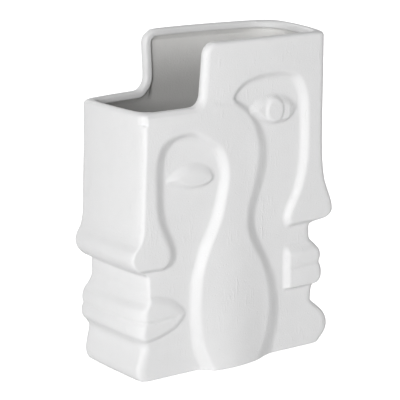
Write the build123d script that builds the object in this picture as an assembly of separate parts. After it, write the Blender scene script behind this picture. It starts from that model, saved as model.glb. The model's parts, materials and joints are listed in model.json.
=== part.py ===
from build123d import *
import math
import os

# A slip-cast ceramic vase whose two ends are cut to the side view of a face.
# X runs along the front, Y to the back, Z up. All lengths are millimetres.

# Driving dimensions of the whole vase
total_height = 280.0
front_half_width = 90.5
end_flare = 10.0
depth_at_ends = 88.8
back_bow = 13.2
end_bulge = 3.0
front_corner_radius = 5.0
back_corner_radius = 8.0
cut_overrun = 30.0
touch_tolerance = 0.02

# Stepped mouth
mouth_step = 51.7
step_place = -33.6
step_corner_radius = 9.0
rim_thickness = 8.0
rim_edge_radius = 2.8
collar_height = 6.0
wall_thickness = 5.5
floor_thickness = 8.0

# Face profiles cut into the two ends
left_nose_reach = 11.0
right_nose_reach = 12.5
chamber_shoulder_height = 125.0
chamber_shoulder_rise = 30.0

# Relief on the front
relief_depth = 5.3
right_face_set_back = 1.5
neck_crown = 5.7
neck_half_width = 36.0
neck_crown_height = 168.0
left_lip_rise = 3.0
eye_rise = 3.0
pupil_rise = 4.5
pupil_radius = 8.5
mouth_crease_width = 2.4

# Foot
foot_rim_width = 12.0
foot_recess_depth = 2.0
pad_radius = 7.0
pad_proud = 0.8
pad_clearance = 1.5

# How finely the corners, the ends and the profiles are divided
corner_turns = (0, 30, 60, 90)
end_shares = (0.33, 0.67)
profile_stretches = 7

# Outlines as shares: heights of the total height, reaches of the nose reach.
# Above its last point each end goes up straight.
left_profile_shares = [
    (0.000, -0.25), (0.018, 0.05), (0.040, 0.18), (0.070, 0.02), (0.110, -0.17), (0.128, 0.00),
    (0.150, 0.44), (0.168, 0.50), (0.188, 0.38), (0.208, 0.41), (0.228, 0.28), (0.249, -0.19),
    (0.270, -0.52), (0.300, -0.57), (0.326, -0.54), (0.344, 0.05), (0.366, 0.77), (0.390, 1.02),
    (0.410, 0.86), (0.432, 0.52), (0.458, 0.32), (0.500, 0.24), (0.570, 0.18), (0.650, 0.09),
    (0.710, 0.03), (0.765, 0.00),
]
right_profile_shares = [
    (0.000, -0.16), (0.018, 0.24), (0.040, 0.62), (0.069, 0.78), (0.098, 0.50), (0.124, -0.08),
    (0.147, -0.61), (0.166, -0.67), (0.188, -0.64), (0.203, -0.44), (0.220, 0.02), (0.242, 0.12),
    (0.260, 0.06), (0.275, -0.06), (0.295, 0.02), (0.314, -0.10), (0.330, -0.38), (0.350, -0.82),
    (0.375, -0.93), (0.396, -0.86), (0.407, -0.36), (0.418, 0.60), (0.432, 0.96), (0.450, 0.99),
    (0.475, 0.83), (0.500, 0.60), (0.540, 0.28), (0.600, 0.08), (0.650, 0.02), (0.710, 0.00),
]

# Relief outlines as shares: across of the front half width, up of the total height.
# Each row is the edge at the sunk level, then the edge at the raised level.
left_cheek_nose_shares = [
    ((-0.90, 0.343), (-0.92, 0.353)), ((-0.76, 0.341), (-0.83, 0.352)), ((-0.67, 0.354), (-0.785, 0.366)),
    ((-0.638, 0.379), (-0.765, 0.387)), ((-0.66, 0.413), (-0.785, 0.415)), ((-0.72, 0.457), (-0.85, 0.463)),
    ((-0.765, 0.507), (-0.90, 0.511)), ((-0.777, 0.579), (-0.91, 0.586)), ((-0.765, 0.664), (-0.90, 0.680)),
    ((-0.722, 0.711), (-0.845, 0.730)), ((-0.63, 0.730), (-0.70, 0.749)), ((-0.50, 0.731), (-0.50, 0.750)),
    ((-0.37, 0.704), (-0.31, 0.727)), ((-0.263, 0.674), (-0.185, 0.687)), ((-0.193, 0.638), (-0.116, 0.643)),
    ((-0.175, 0.593), (-0.10, 0.596)), ((-0.206, 0.525), (-0.14, 0.526)), ((-0.276, 0.463), (-0.204, 0.464)),
    ((-0.383, 0.395), (-0.315, 0.393)), ((-0.464, 0.321), (-0.394, 0.321)), ((-0.503, 0.25), (-0.42, 0.25)),
    ((-0.506, 0.168), (-0.422, 0.168)), ((-0.475, 0.089), (-0.39, 0.089)), ((-0.398, 0.011), (-0.28, 0.004)),
]
right_cheek_nose_shares = [
    ((-0.015, 0.824), (-0.06, 0.826)), ((0.05, 0.850), (0.0, 0.858)), ((0.165, 0.868), (0.135, 0.884)),
    ((0.33, 0.877), (0.33, 0.893)), ((0.51, 0.877), (0.53, 0.892)), ((0.64, 0.861), (0.695, 0.875)),
    ((0.715, 0.815), (0.79, 0.825)), ((0.742, 0.757), (0.812, 0.757)), ((0.748, 0.671), (0.818, 0.671)),
    ((0.735, 0.600), (0.806, 0.593)), ((0.68, 0.521), (0.74, 0.521)), ((0.602, 0.468), (0.652, 0.468)),
    ((0.567, 0.436), (0.613, 0.434)), ((0.597, 0.413), (0.635, 0.420)), ((0.73, 0.406), (0.74, 0.415)),
]
right_cheek_neck_shares = [
    ((0.45, 0.011), (0.22, 0.011)), ((0.508, 0.071), (0.30, 0.071)), ((0.53, 0.154), (0.351, 0.154)),
    ((0.513, 0.211), (0.342, 0.214)), ((0.472, 0.264), (0.309, 0.268)), ((0.398, 0.314), (0.254, 0.318)),
    ((0.32, 0.361), (0.171, 0.364)), ((0.26, 0.404), (0.105, 0.407)), ((0.239, 0.446), (0.088, 0.450)),
    ((0.265, 0.507), (0.11, 0.507)), ((0.32, 0.570), (0.166, 0.568)), ((0.359, 0.636), (0.208, 0.643)),
    ((0.325, 0.687), (0.182, 0.700)), ((0.22, 0.743), (0.088, 0.757)), ((0.088, 0.793), (-0.011, 0.800)),
]
left_eye_shares = [
    (-0.74, 0.612), (-0.66, 0.636), (-0.55, 0.646), (-0.44, 0.643), (-0.34, 0.629), (-0.25, 0.601),
    (-0.34, 0.580), (-0.45, 0.576), (-0.57, 0.583), (-0.67, 0.596),
]
right_eye_shares = [
    (0.16, 0.790), (0.23, 0.807), (0.33, 0.815), (0.45, 0.815), (0.57, 0.804), (0.69, 0.776),
    (0.60, 0.750), (0.48, 0.738), (0.36, 0.742), (0.24, 0.764),
]
eye_top_share = 0.55
pupil_place_shares = (0.445, 0.775)
right_lip_shares = [(0.547, 0.339), (0.547, 0.202), (0.632, 0.334), (0.632, 0.207)]
left_lip_shares = [
    (-0.86, 0.262), (-0.72, 0.248), (-0.62, 0.228), (-0.54, 0.196), (-0.62, 0.160), (-0.75, 0.140),
    (-0.90, 0.128),
]
left_lip_top_share = 0.82
set_back_shares = [
    (-0.03, 0.815), (0.12, 0.760), (0.45, 0.640), (0.45, 0.300), (0.60, 0.150), (0.60, -0.200),
]
neck_middle_share = -0.05
crown_side_share = 0.5
left_crease_height_share = 0.188
right_crease_height_share = 0.272

# Sizes and places that follow from the driving dimensions
low_mouth_height = total_height - mouth_step
back_half_width = front_half_width + end_flare
whole_depth = depth_at_ends + back_bow
front_face = -whole_depth / 2
back_middle = whole_depth / 2
back_at_ends = front_face + depth_at_ends
sunk_face = front_face + relief_depth
foot_bottom = pad_proud
recess_ceiling = foot_bottom + foot_recess_depth
chamber_floor = foot_bottom + floor_thickness
chamber_front = sunk_face + wall_thickness
far_side = back_half_width + left_nose_reach + cut_overrun


def arc_radius(half_chord, rise):
    """Radius of the arc that rises by `rise` over a chord of twice `half_chord`."""
    return (half_chord ** 2 + rise ** 2) / (2 * rise)


def end_half_width(depth):
    """Half width of the plan at a depth behind the front face, without its corners."""
    along = depth / depth_at_ends
    return front_half_width + end_flare * along + 4 * end_bulge * along * (1 - along)


def plan_stations():
    """Depths and half widths of the plan's end, with both of its corners rounded."""
    stations = []
    for turn in corner_turns:
        depth = front_corner_radius * (1 - math.cos(math.radians(turn)))
        inset = front_corner_radius * (1 - math.sin(math.radians(turn)))
        stations.append((depth, end_half_width(depth) - inset))
    straight = depth_at_ends - front_corner_radius - back_corner_radius
    for share in end_shares:
        depth = front_corner_radius + straight * share
        stations.append((depth, end_half_width(depth)))
    for turn in corner_turns[:0:-1]:
        depth = depth_at_ends - back_corner_radius + back_corner_radius * math.cos(math.radians(turn))
        inset = back_corner_radius * (1 - math.sin(math.radians(turn)))
        stations.append((depth, end_half_width(depth) - inset))
    last_depth, last_half = stations[-1]
    stations.append((last_depth + cut_overrun, last_half - cut_overrun))
    return stations


def in_stretches(line):
    """A long smooth line as a chain of shorter edges, which keeps each face of a loft simple."""
    count = profile_stretches
    return [line.trim(step / count, (step + 1) / count) for step in range(count)]


def profile_section(y, half_width):
    """Front view of the vase, both face profiles included, as a face at one depth."""
    low, high = -cut_overrun, total_height + cut_overrun
    left = [(-half_width - left_nose_reach * out, y, total_height * up) for up, out in left_profile_shares]
    right = [(half_width + right_nose_reach * out, y, total_height * up) for up, out in right_profile_shares]
    left_low, left_high = (left[0][0], y, low), (left[-1][0], y, high)
    right_low, right_high = (right[0][0], y, low), (right[-1][0], y, high)
    outline = Wire([
        Line(left_low, left[0]).edge(), *in_stretches(Spline(*left).edge()),
        Line(left[-1], left_high).edge(), Line(left_high, right_high).edge(),
        Line(right_high, right[-1]).edge(), *reversed(in_stretches(Spline(*right).edge())),
        Line(right[0], right_low).edge(), Line(right_low, left_low).edge(),
    ])
    return Face(outline)


def profiled_block(front):
    """Solid with both face profiles on its ends, its front plane at Y = front."""
    sections = [profile_section(front + depth, half) for depth, half in plan_stations()]
    return loft(sections, ruled=True)


def place(shares, y):
    """Point on the front at depth y, from its shares across and up."""
    across, up = shares
    return (front_half_width * across, y, total_height * up)


def across_y(outline, near, far):
    """Solid of an outline face in the XZ plane, from Y = near to Y = far."""
    return extrude(outline, amount=far - near, dir=(0, 1, 0))


def polygon_xz(points, y):
    """Face in the XZ plane through (x, z) points at depth y."""
    return Face(Wire.make_polygon([(x, y, z) for x, z in points], close=True))


def plan_face(inset, front, height):
    """Plan of the vase drawn in by `inset`, its front edge at Y = front, at Z = height."""
    front_half = end_half_width(front - front_face) - inset
    back_half = back_half_width - inset
    middle_depth = (front + back_at_ends - inset) / 2
    middle_half = end_half_width(middle_depth - front_face) - inset
    back = back_at_ends - inset
    front_left, front_right = (-front_half, front, height), (front_half, front, height)
    back_left, back_right = (-back_half, back, height), (back_half, back, height)
    outline = Wire([
        Line(front_left, front_right).edge(),
        ThreePointArc(front_right, (middle_half, middle_depth, height), back_right).edge(),
        ThreePointArc(back_right, (0, back_middle - inset, height), back_left).edge(),
        ThreePointArc(back_left, (-middle_half, middle_depth, height), front_left).edge(),
    ])
    face = Face(outline)
    return face.fillet_2d(back_corner_radius - min(inset, back_corner_radius / 2), face.vertices())


def mouth_outline(drop, y):
    """Front view of the stepped vase, its top line lowered by `drop`."""
    low, high = low_mouth_height - drop, total_height - drop
    step = step_place + drop
    face = polygon_xz([(-far_side, foot_bottom), (far_side, foot_bottom), (far_side, high), (step, high),
                       (step, low), (-far_side, low)], y)
    corners = [v for v in face.vertices() if abs(v.X - step) < step_corner_radius]
    return face.fillet_2d(step_corner_radius, corners)


def spline_edge(shares, y):
    """Smooth line through points on the front given as shares."""
    return Spline(*[place(point, y) for point in shares]).edge()


def edge_through(points, y):
    """Straight edges through (x, z) points at depth y."""
    return [Line((a[0], y, a[1]), (b[0], y, b[1])).edge() for a, b in zip(points, points[1:])]


def between(rows, level):
    """Points of an outline between its sunk edge, at level 0, and its raised edge, at level 1."""
    return [(low[0] + (high[0] - low[0]) * level, low[1] + (high[1] - low[1]) * level) for low, high in rows]


def left_cheek_face(level, y):
    """Outline of the sunk cheek of the left face at one level of its sloping side."""
    line = between(left_cheek_nose_shares, level)
    start, _, start_up = place(line[0], y)
    end, _, end_up = place(line[-1], y)
    closing = [(end, end_up), (end, -cut_overrun), (-far_side, -cut_overrun), (-far_side, start_up),
               (start, start_up)]
    return Face(Wire([spline_edge(line, y), *edge_through(closing, y)]))


def right_cheek_face(level, y):
    """Outline of the sunk cheek of the right face at one level of its sloping side."""
    nose = between(right_cheek_nose_shares, level)
    neck = between(right_cheek_neck_shares, level)
    nose_end, _, nose_up = place(nose[-1], y)
    neck_start, _, neck_low = place(neck[0], y)
    neck_end, _, neck_up = place(neck[-1], y)
    nose_start, _, nose_low = place(nose[0], y)
    right_side = [(nose_end, nose_up), (far_side, nose_up), (far_side, -cut_overrun),
                  (neck_start, -cut_overrun), (neck_start, neck_low)]
    tip = [(neck_end, neck_up), (nose_start, nose_low)]
    return Face(Wire([spline_edge(nose, y), *edge_through(right_side, y), spline_edge(neck, y),
                      *edge_through(tip, y)]))


def cheek_cutter(outline, core):
    """Cutter for a sunk cheek: its sloping sides, down to the core that stays."""
    crown_level = 1 + crown_side_share
    deepest = sunk_face + 2 * front_corner_radius
    sections = [
        outline(crown_level, front_face - cut_overrun), outline(crown_level, front_face - neck_crown),
        outline(1, front_face), outline(0, sunk_face), outline(0, deepest),
    ]
    return loft(sections, ruled=True) - core


def closed_spline_face(shares, y, share_of_size=1.0):
    """Closed smooth outline, shrunk about its middle to a share of its size."""
    middle_across = sum(a for a, _ in shares) / len(shares)
    middle_up = sum(u for _, u in shares) / len(shares)
    points = [place((middle_across + (a - middle_across) * share_of_size,
                     middle_up + (u - middle_up) * share_of_size), y) for a, u in shares]
    return Face(Wire([Spline(*points, periodic=True).edge()]))


def raised_form(shares, top_share, rise):
    """Low form on the sunk cheek with sloping sides, such as an eye."""
    foot = closed_spline_face(shares, sunk_face + wall_thickness / 2)
    edge = closed_spline_face(shares, sunk_face)
    top = closed_spline_face(shares, sunk_face - rise, top_share)
    return loft([foot, edge, top], ruled=True)


def bow_prism():
    """Solid that trims the back of the block to its bowed wall."""
    chord = back_half_width + left_nose_reach + cut_overrun
    rise = back_bow * (chord / back_half_width) ** 2
    near, far, low = front_face - cut_overrun, back_middle - rise, -cut_overrun
    plan = Face(Wire([
        Line((-chord, near, low), (chord, near, low)).edge(),
        Line((chord, near, low), (chord, far, low)).edge(),
        ThreePointArc((chord, far, low), (0, back_middle, low), (-chord, far, low)).edge(),
        Line((-chord, far, low), (-chord, near, low)).edge(),
    ]))
    return extrude(plan, amount=total_height + 2 * cut_overrun, dir=(0, 0, 1))


def set_back_cutter():
    """Cutter that sets the right face back behind the left face's slab, down to its own core."""
    points = [(step_place, low_mouth_height)]
    points += [(front_half_width * across, total_height * up) for across, up in set_back_shares]
    points += [(far_side, -cut_overrun), (far_side, total_height + cut_overrun),
               (step_place, total_height + cut_overrun)]
    near = front_face - cut_overrun
    far = front_face + right_face_set_back + 2 * front_corner_radius
    core = profiled_block(front_face + right_face_set_back)
    return across_y(polygon_xz(points, near), near, far) - core


def right_lip_block():
    """The right face's lips, which stay standing in the sunk cheek."""
    sections = []
    foot_rows, top_rows = right_lip_shares[:2], right_lip_shares[2:]
    levels = [(sunk_face + 2 * front_corner_radius, foot_rows), (sunk_face, foot_rows),
              (front_face + right_face_set_back, top_rows), (front_face - 2 * cut_overrun, top_rows)]
    for y, rows in levels:
        (top_x, _, top_z), (low_x, _, low_z) = place(rows[0], y), place(rows[1], y)
        outline = [(top_x, top_z), (low_x, low_z), (far_side, low_z), (far_side, top_z)]
        sections.append(polygon_xz(outline, y))
    return loft(sections, ruled=True)


def left_lip_block():
    """The left face's lips: a low form on the cheek, cut to the same profile as the end."""
    lip_core = profiled_block(sunk_face - left_lip_rise)
    sections = []
    for y, size in ((sunk_face + 2 * front_corner_radius, 1.0), (sunk_face, 1.0),
                    (sunk_face - left_lip_rise, left_lip_top_share)):
        middle = left_crease_height_share
        rows = [(across * size + (1 - size) * left_lip_shares[0][0], middle + (up - middle) * size)
                for across, up in left_lip_shares]
        (first_x, _, first_z), (last_x, _, last_z) = place(rows[0], y), place(rows[-1], y)
        closing = [(last_x, last_z), (-far_side, last_z), (-far_side, first_z), (first_x, first_z)]
        sections.append(Face(Wire([spline_edge(rows, y), *edge_through(closing, y)])))
    return (loft(sections, ruled=True) & lip_core) - chamber()


def crease(height_share, start_share, level):
    """Round-bottomed groove along the mouth, on one side of the vase."""
    side = math.copysign(1, start_share)
    start = front_half_width * abs(start_share)
    origin = (side * start, level, total_height * height_share)
    return Solid.make_cylinder(mouth_crease_width / 2, far_side - start, Plane(origin, z_dir=(side, 0, 0)))


def neck_form():
    """Crown of the bottle shape between the faces: part of a cylinder that leans into the slab."""
    radius = arc_radius(neck_half_width, neck_crown)
    lean = math.atan(neck_crown / neck_crown_height)
    axis = Vector(0, math.sin(lean), math.cos(lean))
    foot = Vector(neck_middle_share * front_half_width, front_face - neck_crown + radius / math.cos(lean), 0)
    cylinder = Solid.make_cylinder(radius, total_height, Plane(foot - axis * cut_overrun, z_dir=axis))
    near, far = front_face - cut_overrun, front_face + relief_depth / 2
    left, right = foot.X - neck_half_width, foot.X + neck_half_width
    window = polygon_xz([(left, foot_bottom), (right, foot_bottom), (right, neck_crown_height),
                         (left, neck_crown_height)], near)
    return across_y(window, near, far) & cylinder


def pupil():
    """Round pupil of the right eye."""
    radius = arc_radius(pupil_radius, pupil_rise)
    ball = Pos(*place(pupil_place_shares, sunk_face - pupil_rise + radius)) * Sphere(radius)
    base = Plane(place(pupil_place_shares, sunk_face), z_dir=(0, -1, 0))
    return ball & Solid.make_cylinder(pupil_radius, 2 * pupil_rise, base)


def chamber():
    """The hollow: a narrower lower chamber behind the faces, a full one above."""
    plan = extrude(plan_face(wall_thickness, chamber_front, chamber_floor),
                   amount=total_height + cut_overrun, dir=(0, 0, 1))
    left_low = -front_half_width + left_nose_reach / 2 + wall_thickness
    right_low = front_half_width - right_nose_reach - wall_thickness
    shoulder_top = chamber_shoulder_height + chamber_shoulder_rise
    low, high = -cut_overrun, total_height + cut_overrun
    points = [(left_low, low), (right_low, low), (right_low, chamber_shoulder_height),
              (far_side, shoulder_top), (far_side, high), (-far_side, high), (-far_side, shoulder_top),
              (left_low, chamber_shoulder_height)]
    side_view = across_y(polygon_xz(points, -whole_depth), -whole_depth, whole_depth)
    under_rim = across_y(mouth_outline(collar_height, -whole_depth), -whole_depth, whole_depth)
    opening = extrude(plan_face(rim_thickness, front_face + rim_thickness, chamber_shoulder_height),
                      amount=total_height, dir=(0, 0, 1))
    return (plan & side_view & under_rim) + (opening & side_view)


def foot_recess():
    """Shallow recess under the base, inside the foot rim."""
    plan = plan_face(foot_rim_width + right_nose_reach, sunk_face + foot_rim_width, 0)
    return extrude(plan, amount=recess_ceiling, dir=(0, 0, 1))


def rim_edges(shell):
    """Edges along the stepped mouth, outside and inside, which the rim rounds off."""
    line = mouth_outline(0, 0).outer_wire()
    found = []
    for edge in shell.edges().filter_by(lambda edge: edge.center().Z > low_mouth_height - rim_edge_radius):
        points = [edge @ share for share in (0, 0.5, 1)]
        along = max(abs(points[0].X - points[-1].X), abs(points[0].Z - points[-1].Z))
        off = max(line.distance_to(Vertex(point.X, 0, point.Z)) for point in points)
        if off < touch_tolerance < along:
            found.append(edge)
    return found


def make_vase():
    """The whole ceramic body."""
    outer = profiled_block(front_face) & bow_prism()
    outer = outer & across_y(mouth_outline(0, -2 * whole_depth), -2 * whole_depth, 2 * whole_depth)
    shell = outer - chamber()
    shell = fillet(rim_edges(shell), rim_edge_radius)
    core = profiled_block(sunk_face)
    right_cutter = cheek_cutter(right_cheek_face, core) - right_lip_block()
    shell = shell + neck_form() - cheek_cutter(left_cheek_face, core) - right_cutter - set_back_cutter()
    shell = shell + left_lip_block() + raised_form(left_eye_shares, eye_top_share, eye_rise)
    shell = shell + raised_form(right_eye_shares, eye_top_share, eye_rise) + pupil()
    left_start, right_start = left_lip_shares[3][0], right_lip_shares[2][0]
    shell = shell - crease(left_crease_height_share, left_start, sunk_face - left_lip_rise)
    shell = shell - crease(right_crease_height_share, right_start, front_face + right_face_set_back)
    return shell - foot_recess()


def foot_pads(shift):
    """Four round pads seated in the foot recess, each with its node name."""
    inset = foot_rim_width + right_nose_reach + pad_radius + pad_clearance
    front = sunk_face + foot_rim_width + pad_radius + pad_clearance
    back = back_at_ends - inset
    pads = {}
    for side, across in (("left", -1), ("right", 1)):
        for row, y in (("front", front), ("rear", back)):
            half = end_half_width(y - front_face) - inset
            pad = Pos(across * half, y, 0) * extrude(Circle(pad_radius), amount=recess_ceiling)
            pads[f"foot_pad_{row}_{side}"] = pad.moved(shift)
    return pads


vase = make_vase()
box = vase.bounding_box()
centring = Location((-box.center().X, -box.center().Y, 0))
nodes = {"vase_body": vase.moved(centring), **foot_pads(centring)}
os.makedirs("parts", exist_ok=True)
for name, solid in nodes.items():
    export_step(solid, f"parts/{name}.step")
    size = solid.bounding_box().size
    print(name, len(solid.solids()), round(solid.volume), [round(side, 2) for side in size])
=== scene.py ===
"""Look of a white ceramic face vase with a stepped mouth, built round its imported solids.

Every length is in millimetres until the last step of a mesh, which turns it into metres.
Plan coordinates: x runs along the wide front, y from the front to the back, z up.
"""

import json
import logging
import math
from dataclasses import dataclass, field
from enum import Enum

import bpy
import numpy as np
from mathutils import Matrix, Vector

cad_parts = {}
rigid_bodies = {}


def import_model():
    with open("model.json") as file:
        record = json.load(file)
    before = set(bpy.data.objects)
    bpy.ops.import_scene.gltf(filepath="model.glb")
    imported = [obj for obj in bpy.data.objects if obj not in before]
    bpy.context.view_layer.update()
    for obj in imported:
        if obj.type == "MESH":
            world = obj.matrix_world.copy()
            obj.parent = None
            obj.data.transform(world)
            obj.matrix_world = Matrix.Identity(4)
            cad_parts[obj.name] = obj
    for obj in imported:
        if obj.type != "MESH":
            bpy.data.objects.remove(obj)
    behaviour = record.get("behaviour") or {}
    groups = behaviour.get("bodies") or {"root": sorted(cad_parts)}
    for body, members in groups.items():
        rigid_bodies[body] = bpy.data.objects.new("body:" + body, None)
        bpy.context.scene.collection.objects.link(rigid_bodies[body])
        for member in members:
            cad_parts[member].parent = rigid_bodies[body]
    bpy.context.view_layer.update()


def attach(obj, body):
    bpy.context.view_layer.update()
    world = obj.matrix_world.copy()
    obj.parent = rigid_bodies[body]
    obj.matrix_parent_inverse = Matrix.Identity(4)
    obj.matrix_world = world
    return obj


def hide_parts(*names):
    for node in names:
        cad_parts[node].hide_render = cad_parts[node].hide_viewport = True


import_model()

log = logging.getLogger("face_vase")

MM = 0.001
TINY = 1e-6
Array = np.ndarray


class Side(Enum):
    """The two narrow ends of the vase."""

    LEFT = -1
    RIGHT = 1


class Part(Enum):
    """The stretches of a loop round the vase, in the order in which it runs."""

    FRONT = 0
    FRONT_RIGHT = 1
    RIGHT_END = 2
    BACK_RIGHT = 3
    BACK = 4
    BACK_LEFT = 5
    LEFT_END = 6
    FRONT_LEFT = 7


class Zone(Enum):
    """Zones of the body, in the order of its material slots."""

    OUTSIDE = 0
    CHAMBER = 1
    FOOT = 2


# ---------------------------------------------------------------- helpers for curves and fields


def ease(share: Array) -> Array:
    """Cubic ease from 0 to 1: 3 s^2 - 2 s^3, flat outside that range."""
    s = np.clip(share, 0.0, 1.0)
    return s * s * (3.0 - 2.0 * s)


def ramp(value: Array, start: float, over: float) -> Array:
    """Eases from 0 at the start to 1 at the start plus the length that it runs over."""
    return ease((value - start) / over)


def fall(value: Array, end: float, over: float) -> Array:
    """Eases from 1 at the end less the length that it runs over to 0 at the end."""
    return ease((end - value) / over)


def bell(value: Array, middle: float | Array, spread: float) -> Array:
    """Bell curve exp(-((value - middle) / spread)^2)."""
    return np.exp(-(((value - middle) / spread) ** 2))


def smooth_line(points: Array, steps: int, closed: bool = False) -> Array:
    """Runs a smooth curve through points.

    Each stretch is a cubic between two points, whose slopes there are the weighted mean of the
    two chords that meet, with the square root of the chord's length as the parameter.

    Args:
        points: The points, one per row.
        steps: How many samples each stretch gets.
        closed: Whether the last point joins the first.

    Returns:
        The samples, one per row.
    """
    p = np.asarray(points, float)
    if closed:
        p = np.vstack([p[-1:], p, p[:2]])
    else:
        p = np.vstack([2 * p[:1] - p[1:2], p, 2 * p[-1:] - p[-2:-1]])
    gap = np.sqrt(np.linalg.norm(np.diff(p, axis=0), axis=1))[:, None]
    chord = np.diff(p, axis=0) / gap
    slope = (chord[:-1] * gap[1:] + chord[1:] * gap[:-1]) / (gap[:-1] + gap[1:])
    start, end = p[1:-2], p[2:-1]
    run = gap[1:-1]
    s = np.linspace(0.0, 1.0, steps, endpoint=False)[None, :, None]
    line = (
        (2 * s**3 - 3 * s**2 + 1) * start[:, None]
        + (s**3 - 2 * s**2 + s) * (run * slope[:-1])[:, None]
        + (3 * s**2 - 2 * s**3) * end[:, None]
        + (s**3 - s**2) * (run * slope[1:])[:, None]
    ).reshape(-1, 2)
    return line if closed else np.vstack([line, p[-2:-1]])


def nearest(points: Array, ring: Array, chunk: int = 20000) -> tuple[Array, Array, Array]:
    """Measures points against a closed ring of straight stretches.

    Args:
        points: The points to measure, one per row.
        ring: The ring's corners, one per row.
        chunk: How many points are measured at a time.

    Returns:
        The distance to the ring, whether each point is inside it, and the way to the nearest
        place on it as a unit vector.
    """
    a, b = ring, np.roll(ring, -1, axis=0)
    ab = b - a
    span = np.maximum((ab**2).sum(1), 1e-12)
    far, inside, way = [], [], []
    for first in range(0, len(points), chunk):
        p = points[first : first + chunk]
        ap = p[:, None] - a[None]
        along = np.clip((ap * ab).sum(2) / span, 0.0, 1.0)
        off = along[..., None] * ab - ap
        square = (off**2).sum(2)
        pick = square.argmin(1)
        row = np.arange(len(p))
        gap = np.sqrt(square[row, pick])
        far.append(gap)
        way.append(off[row, pick] / np.maximum(gap, 1e-9)[:, None])
        above = (a[None, :, 1] > p[:, None, 1]) != (b[None, :, 1] > p[:, None, 1])
        drop = np.where(np.abs(ab[:, 1]) < 1e-12, 1e-12, ab[:, 1])
        cross = a[None, :, 0] + (p[:, None, 1] - a[None, :, 1]) / drop * ab[None, :, 0]
        inside.append((above & (p[:, None, 0] < cross)).sum(1) % 2 == 1)
    return np.concatenate(far), np.concatenate(inside), np.concatenate(way)


def blurred(values: Array, reach: float) -> Array:
    """Blurs a field with a bell curve of the given reach in cells, each way in turn.

    Args:
        values: The field, as rows and columns.
        reach: The bell's reach in cells.

    Returns:
        The blurred field.
    """
    size = max(1, int(math.ceil(3 * reach)))
    bell = np.exp(-0.5 * (np.arange(-size, size + 1) / reach) ** 2)
    bell /= bell.sum()
    for axis in (0, 1):
        wide = np.pad(values, [(size, size) if n == axis else (0, 0) for n in (0, 1)], mode="edge")
        count = values.shape[axis]
        values = sum(
            weight * np.take(wide, np.arange(n, n + count), axis=axis)
            for n, weight in enumerate(bell)
        )
    return values


# ---------------------------------------------------------------- sizes


@dataclass(frozen=True)
class VasePlan:
    """Main sizes of the vase, with the centre of its plan at x = 0.

    A ramp is the height where it starts and the length that it runs over, a fall the height
    where it ends and that length, and a bell its middle and its spread.
    """

    height: float = 280.0
    low_mouth: float = 228.3
    bottom: float = 0.8
    front: float = -51.0
    sunk: float = -44.6
    set_back: float = 1.5
    back: float = 50.93
    back_bow: float = 13.2
    bow_span: float = 100.5
    end_depth: float = 88.8
    left_half: float = 91.4
    left_flare: float = 7.8
    left_lean: float = 1.3
    lip_retreat: float = 4.0
    nose_advance: float = 1.2
    base_advance: float = 2.2
    lean_ramp: tuple[float, float] = (40.0, 50.0)
    lips_ramp: tuple[float, float] = (36.0, 12.0)
    lips_fall: tuple[float, float] = (76.0, 12.0)
    nose_bell: tuple[float, float] = (108.0, 11.0)
    base_fall: tuple[float, float] = (34.0, 30.0)
    left_bulge: float = 2.0
    right_half: float = 89.3
    right_flare: float = 8.9
    right_bulge: float = 5.4
    left_reach: float = 11.0
    right_reach: float = 12.5
    step_x: float = -33.6
    step_round: float = 9.5
    step_lean: float = 0.085
    back_step_round: float = 12.5
    back_step_lean: float = -0.045
    rim: float = 8.0
    wall: float = 5.5
    floor: float = 8.8
    chamber_front: float = -40.2
    foot_width: float = 12.0
    foot_recess: float = 2.0
    width_unit: float = 90.5
    height_unit: float = 280.0
    shift: tuple[float, float] = (-0.65, 2.84)

    def half(self, side: Side, depth: Array, z: Array) -> Array:
        """Half width at a depth behind the front and a height.

        The formula is the half width at the front, plus the flare times the share of the depth,
        plus four times the bulge times share times (1 - share). Above the chin the left end's
        front edge leans out by the lean, which fades towards the back; beside the lips the edge
        stays back, and beside the nose and at the base it comes further out.

        Args:
            side: The left or the right end.
            depth: Depth behind the front.
            z: Height.

        Returns:
            The half width, without the profile's reach.
        """
        t = depth / self.end_depth
        bow = 4 * t * (1 - t)
        if side is Side.RIGHT:
            return self.right_half + self.right_flare * t + self.right_bulge * bow
        lean = self.left_lean * ramp(z, *self.lean_ramp) * (1 - t)
        beside_lips = ramp(z, *self.lips_ramp) * fall(z, *self.lips_fall)
        beside_nose = bell(z, *self.nose_bell)
        at_base = fall(z, *self.base_fall)
        moved = self.nose_advance * beside_nose + self.base_advance * at_base
        moved = (moved - self.lip_retreat * beside_lips) * np.clip(1 - t, 0.0, 1.0) ** 3
        return self.left_half + self.left_flare * t + self.left_bulge * bow + lean + moved

    def back_y(self, x: Array) -> Array:
        """The bowed back: the middle's y less the bow times (x / span) squared."""
        return self.back - self.back_bow * (x / self.bow_span) ** 2


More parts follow.
